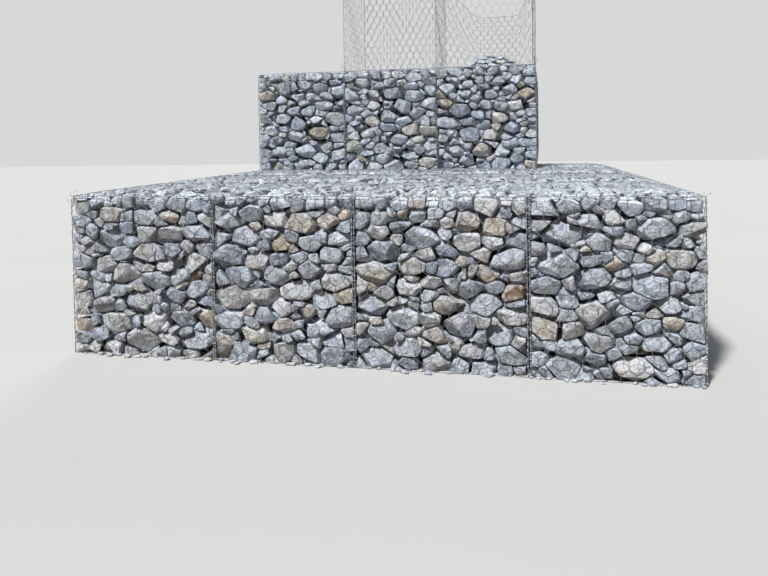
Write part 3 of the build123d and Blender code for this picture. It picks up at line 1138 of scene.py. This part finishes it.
def seam_lacing(low, high, next_low, on_step):
    """Lacing up the seam between a basket and the next, and back over the step."""
    middle, y, z = (high[0] + next_low[0]) / 2, low[1] + selvedge_radius, high[2] - selvedge_radius
    wide = lacing_reach((next_low[0] - high[0]) / 2)
    start, end = (middle, y, low[2] + 0.01), (middle, y, high[2] - 0.01)
    loose_wide, loose_rise = wide + lacing_slack, lacing_rise + lacing_slack
    parts = [winding(start, end, loose_wide, loose_rise, (1, 0, 0), (0, -1, 0), seam_pitch)]
    if on_step:
        start, end = (middle, y + 0.02, z), (middle, upper_front, z)
        parts.append(winding(start, end, wide, lacing_rise, (1, 0, 0), (0, 0, 1), step_pitch))
    return parts


for course, (boxes, lines, _, _) in courses.items():
    for number, (low, high) in enumerate(boxes):
        node = f"{course}_basket_{number + 1}"
        parts = basket_wires(random.Random(f"{course}{number}"), low, high, lines)
        wire_piece(f"{node}_wires", parts, "selvedge_wire", node)

for course, boxes in (("lower", lower), ("upper", upper)):
    for number, ((low, high), (next_low, _)) in enumerate(zip(boxes, boxes[1:])):
        node = f"{course}_lacing_{number + 1}"
        parts = seam_lacing(low, high, next_low, course == "lower")
        wire_piece(f"{node}_wire", parts, "lacing_wire", node)

foot_y, foot_room = upper_front + selvedge_radius, 0.02
foot_lacing = winding(
    (upper_left + foot_room, foot_y, lower_top), (upper_right - foot_room, foot_y, lower_top),
    lacing_reach(0), lacing_rise, (0, 0, 1), (0, -1, 0), foot_pitch,
)
wire_piece("foot_lacing_wire", [foot_lacing], "lacing_wire", "foot_lacing")


# Open basket: the middle lines of its wires along the wall, its depth and its height
last_seam = (upper[1][1][0] + upper[2][0][0]) / 2
open_lines = [open_low[0] + selvedge_radius, last_seam, open_high[0] - selvedge_radius]
floor_z, top_z = open_low[2], open_high[2]
panel_x = list(zip(open_lines, open_lines[1:]))
panel_y = upper_front + selvedge_radius, back - selvedge_radius
panel_z = floor_z + selvedge_radius, top_z - selvedge_radius


def back_top(x):
    """Height of the back top edge, which sags over the second cell."""
    share = (x - open_lines[1]) / (open_lines[2] - open_lines[1])
    if share <= 0 or share >= 1:
        return top_z - selvedge_radius
    dip = min(1, share / 0.42, (1 - share) / 0.17)
    dip = dip * dip * (3 - 2 * dip)
    return top_z - selvedge_radius - sag * dip


def sagging(path, level):
    """A path along the back top edge, moved down from its level as that edge sags."""
    return [Vector((p.x, p.y, back_top(p.x) + p.z - level)) for p in path]


def slack(seed, amount):
    """A gentle uneven surface, as a function of two lengths."""
    rng = random.Random(seed)
    waves = [(rng.uniform(2, 9), rng.uniform(2, 9), rng.uniform(0, 6.3)) for _ in range(5)]
    return lambda u, v: amount * sum(np.sin(a * u + b * v + c) for a, b, c in waves) / 2.2


def open_panel(name, axis, level, spans, heights, seed, fine, slack_by):
    """One panel of the open basket, as mesh between its selvedges. spans gives its cells along the wall
    or its depth, and heights its range the other way."""
    loose, parts = slack(seed, slack_by), []
    u_axis = 1 if axis == 0 else 0
    v_axis = 1 if axis == 2 else 2
    normal = [0, 0, 0]
    normal[axis] = 1
    v0, v1 = heights
    for u0, u1 in spans:
        wires = hex_wires(u1 - u0, v1 - v0, fine)
        u, v = u0 + wires[:, :, 0], v0 + wires[:, :, 1]
        share_u, share_v = wires[:, :, 0] / (u1 - u0), wires[:, :, 1] / (v1 - v0)
        hold = np.clip(8 * share_u * (1 - share_u), 0, 1) * np.clip(8 * share_v * (1 - share_v), 0, 1)
        points = np.zeros_like(wires)
        points[:, :, u_axis] = u + hold * loose(v + 3, u) * 0.5
        points[:, :, v_axis] = v + hold * loose(u + 7, v) * 0.5
        points[:, :, axis] = level + wires[:, :, 2] + hold * loose(u, v)
        if name in ("open_back_mesh", "open_lid"):
            tops = np.vectorize(back_top)(points[:, :, 0])
            points[:, :, 2] = floor_z + (points[:, :, 2] - floor_z) * (tops - floor_z) / (top_z - floor_z)
        parts.append(tubes(points, mesh_radius, mesh_sides, normal))
    return parts


open_panels = [
    ("open_front_mesh", 1, panel_y[0], panel_x, panel_z, True),
    ("open_back_mesh", 1, panel_y[1], panel_x, panel_z, False),
    ("open_left_mesh", 0, open_lines[0], [panel_y], panel_z, False),
    ("open_diaphragm_1", 0, open_lines[1], [panel_y], panel_z, False),
    ("open_right_mesh", 0, open_lines[2], [panel_y], panel_z, False),
    ("open_base_mesh", 2, panel_z[0], panel_x, panel_y, False),
]
for number, (name, axis, level, spans, heights, fine) in enumerate(open_panels):
    loose = 0.0 if name == "open_base_mesh" else panel_slack
    parts = open_panel(name, axis, level, spans, heights, 40 + number, fine, loose)
    wire_piece(f"{name}_wires", parts, "mesh_wire", name)


def open_frame_wires(rng):
    """Rings at the ends and the diaphragm, the long wires between them, and sleeves in front."""
    near, far = [Vector((open_lines[end], panel_y[end], panel_z[end])) for end in (0, -1)]
    parts = []
    for x in open_lines:
        parts += wire_ring(rng, corners_at(0, x, near, far), open_stray)
    for y, z in itertools.product((near[1], far[1]), (near[2], far[2])):
        for x0, x1 in panel_x:
            path = wavy(rng, (x0, y, z), (x1, y, z), open_stray)
            if y == far[1] and z == far[2]:
                path = sagging(path, z)
            parts.append(bent_tube(path, selvedge_radius, selvedge_sides))
    for x0, x1 in panel_x:
        parts += sleeves(rng, (x0, near[1], near[2]), (x1, near[1], near[2]))
    for x in open_lines:
        parts += sleeves(rng, (x, near[1], near[2]), (x, near[1], far[2]))
    return parts


wire_piece("open_frame_wires", open_frame_wires(random.Random(9)), "selvedge_wire", "open_frame")


# The lid, thrown back, hangs from the same edge

def lid_wires(rng):
    """Mesh of the lid and the wire round it."""
    near, far, level = lid_low + inset, lid_high - inset, (lid_low[1] + lid_high[1]) / 2
    across = (lid_low[0] + selvedge_radius, lid_high[0] - selvedge_radius)
    parts = open_panel("open_lid", 1, level, [across], panel_z, 51, False, lid_slack)
    ring = corners_at(1, level, near, far)
    for a, b in zip(ring, ring[1:] + ring[:1]):
        path = wavy(rng, a, b, lid_stray)
        # Its top edge goes from the third corner to the last
        if a is ring[2]:
            path = sagging(path, a[2])
        parts.append(bent_tube(path, selvedge_radius, selvedge_sides))
    return parts


def lid_loops(to_each_cell=3):
    """Lacing that ties the lid to the back edge."""
    parts = []
    for x0, x1 in panel_x:
        for number in range(to_each_cell):
            x = x0 + (x1 - x0) * (number + 0.5) / to_each_cell
            start = Vector((x, (back + lid_low[1]) / 2, back_top(x)))
            end, wide = start + Vector((lid_pitch, 0, 0)), lacing_reach((lid_low[1] - back) / 2)
            parts.append(winding(start, end, wide, lacing_rise, (0, 1, 0), (0, 0, 1), lid_pitch))
    return parts


wire_piece("open_lid_wires", lid_wires(random.Random(13)), "mesh_wire", "open_lid")
wire_piece("lid_lacing_wire", lid_loops(), "lacing_wire", "lid_lacing")


# First stones, heaped on the base against the front

def heap_stones(rng):
    """Stones packed under the heap's four slopes and its top."""
    run, rise = math.sin(heap_slope), math.cos(heap_slope)
    sides = [
        Slope((-run, 0, rise), heap_low),
        Slope((0, -run, rise), heap_low),
        Slope((run, 0, rise), (heap_high[0], heap_low[1], heap_low[2])),
        Slope((0, run, rise), (heap_low[0], heap_high[1], heap_low[2])),
        Slope((0, 0, 1), heap_high),
    ]

    def place(radius):
        point = [rng.uniform(heap_low[k], heap_high[k]) for k in range(3)]
        return None if min(side.depth(point) for side in sides) < stone_depth[0] * radius else point

    seeds = Seeds()
    for size, count in heap_sizes:
        seeds.settle(rng, size, count, count * heap_tries, heap_spacing, place)
    return Packing(rng, seeds, heap_low, heap_high, sides).stones(len(seeds.places))


heap = join_stones("first_stones_heap", heap_stones(random.Random(61)), clean_stone, 62)
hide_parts("first_stones")


# Splinters that fell through the mesh lie along the foot

def spall(rng, x, y, z, size):
    """A splinter of stone that lies on a level."""
    half = [size * rng.uniform(0.7, 1.2), size * rng.uniform(0.5, 0.9), size * rng.uniform(0.25, 0.5)]
    solid = box_solid([x - half[0], y - half[1], z - half[2]], [x + half[0], y + half[1], z + half[2]])
    for _ in range(14):
        solid = chipped(rng, solid, any_way(rng).normalized(), Vector((x, y, z)), spall_chip) or solid
    lowest = min(point[2] for point in solid[0])
    points = [(px, py, pz - lowest + z) for px, py, pz in solid[0]]
    return round_off((points, solid[1]), spall_edge) or (points, solid[1])


def foot_spalls(rng, count=70, end_room=0.02):
    """Splinters in front of the wall, each with where it is."""
    found = []
    for _ in range(count):
        x = rng.uniform(left + end_room, right - end_room)
        y = front - abs(rng.gauss(0.012, 0.016))
        found.append((spall(rng, x, y, 0.0, rng.uniform(0.008, 0.024)), (x, y, 0.0)))
    return found


join_stones("spalls_at_foot", foot_spalls(random.Random(71)), crushed_stone, 72)


# Loose wire ends at corners and seams

def tuft(rng, count, place, starts, pulls, sizes):
    """Curled wire ends at a place. The ranges say how far from it they start, along each axis, and how
    far they pull away from there."""
    parts = []
    for _ in range(count):
        where = [middle + rng.uniform(*span) for middle, span in zip(place, starts)]
        away = [rng.uniform(*span) for span in pulls]
        parts.append(curl(rng, where, away, rng.uniform(*sizes)))
    return parts


def loose_ends(rng, corner_room=0.01):
    """Tufts along the front top edge, with the largest at the left corner, and at the foot of the open
    basket's upright wires."""
    seams = [(a[1][0] + b[0][0]) / 2 for a, b in zip(lower, lower[1:])]
    starts, pulls = ((-0.015, 0.02), (0, 0.03), (0, -0.04)), ((-0.03, 0.05), (-0.012, 0.03), (-0.03, 0.03))
    parts = []
    for x in [left + corner_room] + seams + [right - corner_room]:
        count = 4 if parts else 7
        parts += tuft(rng, count, (x, front, lower_top), starts, pulls, (0.012, 0.028))
    starts, pulls = ((-0.01, 0.02), (-0.004, 0.02), (0, 0.05)), ((-0.05, 0.05), (-0.01, 0.03), (-0.01, 0.05))
    for x in open_lines:
        parts += tuft(rng, 5, (x, upper_front, floor_z), starts, pulls, (0.012, 0.025))
    return parts


wire_piece("loose_wire_ends", loose_ends(random.Random(81)), "lacing_wire")


# Floor, sky, light and camera

def pale_floor(reach_out=30):
    """A plain floor. It looks pale, but throws little light back up."""
    nodes = Finish("plain_floor")
    shown = nodes.mix(nodes.noise(0.6, 2), linear(196, 195, 192), linear(199, 198, 195))
    nodes.put(nodes.shader.inputs["Base Color"], nodes.mix(nodes.seen(), linear(112, 96, 76), shown))
    nodes.shader.inputs["Roughness"].default_value = 0.95
    nodes.shader.inputs["Specular IOR Level"].default_value = 0.1
    corners = [(x * reach_out, y * reach_out, 0) for x, y in ((-1, -1), (1, -1), (1, 1), (-1, 1))]
    return new_mesh("floor", corners, [[0, 1, 2, 3]], nodes.owner)


def soft_sky():
    """A world of weak blue light that looks pale grey itself."""
    nodes = Nodes(bpy.data.worlds.new("soft_sky"))
    nodes.tree.nodes.clear()
    light = nodes.add("ShaderNodeBackground", {"Color": linear(208, 221, 244), "Strength": 0.18})
    backdrop = nodes.add("ShaderNodeBackground", {"Color": linear(216, 216, 216)})
    inputs = {"Fac": nodes.seen(), 1: light.outputs["Background"], 2: backdrop.outputs["Background"]}
    blend = nodes.add("ShaderNodeMixShader", inputs)
    nodes.add("ShaderNodeOutputWorld", {"Surface": blend.outputs["Shader"]})
    return nodes.owner


def sun(name, direction, strength, spread):
    """Soft light from far away. The spread is in degrees."""
    lamp = bpy.data.lights.new(name, "SUN")
    lamp.energy, lamp.angle = strength, math.radians(spread)
    thing = bpy.data.objects.new(name, lamp)
    thing.rotation_euler = Vector(direction).to_track_quat("-Z", "Y").to_euler()
    bpy.context.scene.collection.objects.link(thing)


def photo_camera(place, focal, horizon, down, left, clockwise, width=768, height=576, sensor=36):
    """A camera at a place in metres, turned by degrees from looking level along +Y. The focal length, and
    the height of the picture's level line, are in pixels."""
    camera = bpy.data.objects.new("camera", bpy.data.cameras.new("camera"))
    camera.data.sensor_width = sensor
    camera.data.lens = focal / width * sensor
    camera.data.shift_y = -(height / 2 - horizon) / width
    camera.matrix_world = Matrix.Translation(place)
    for degrees, axis in ((left, "Z"), (90 - down, "X"), (-clockwise, "Z")):
        camera.matrix_world @= Matrix.Rotation(math.radians(degrees), 4, axis)
    bpy.context.scene.collection.objects.link(camera)
    return camera


pale_floor()
bpy.context.scene.world = soft_sky()
sun("key", direction=(0.35, 0.78, -1.06), strength=4.3, spread=6)
sun("fill", direction=(-0.7, 0.5, -0.6), strength=0.25, spread=60)
sun("back", direction=(0.2, -0.9, -0.38), strength=1.0, spread=30)
bpy.context.scene.camera = photo_camera(
    (0.91218, -5.68394, 1.3515), focal=644.3, horizon=153.9, down=1.31, left=11.50, clockwise=0.97
)
bpy.context.scene.view_settings.view_transform = "Standard"
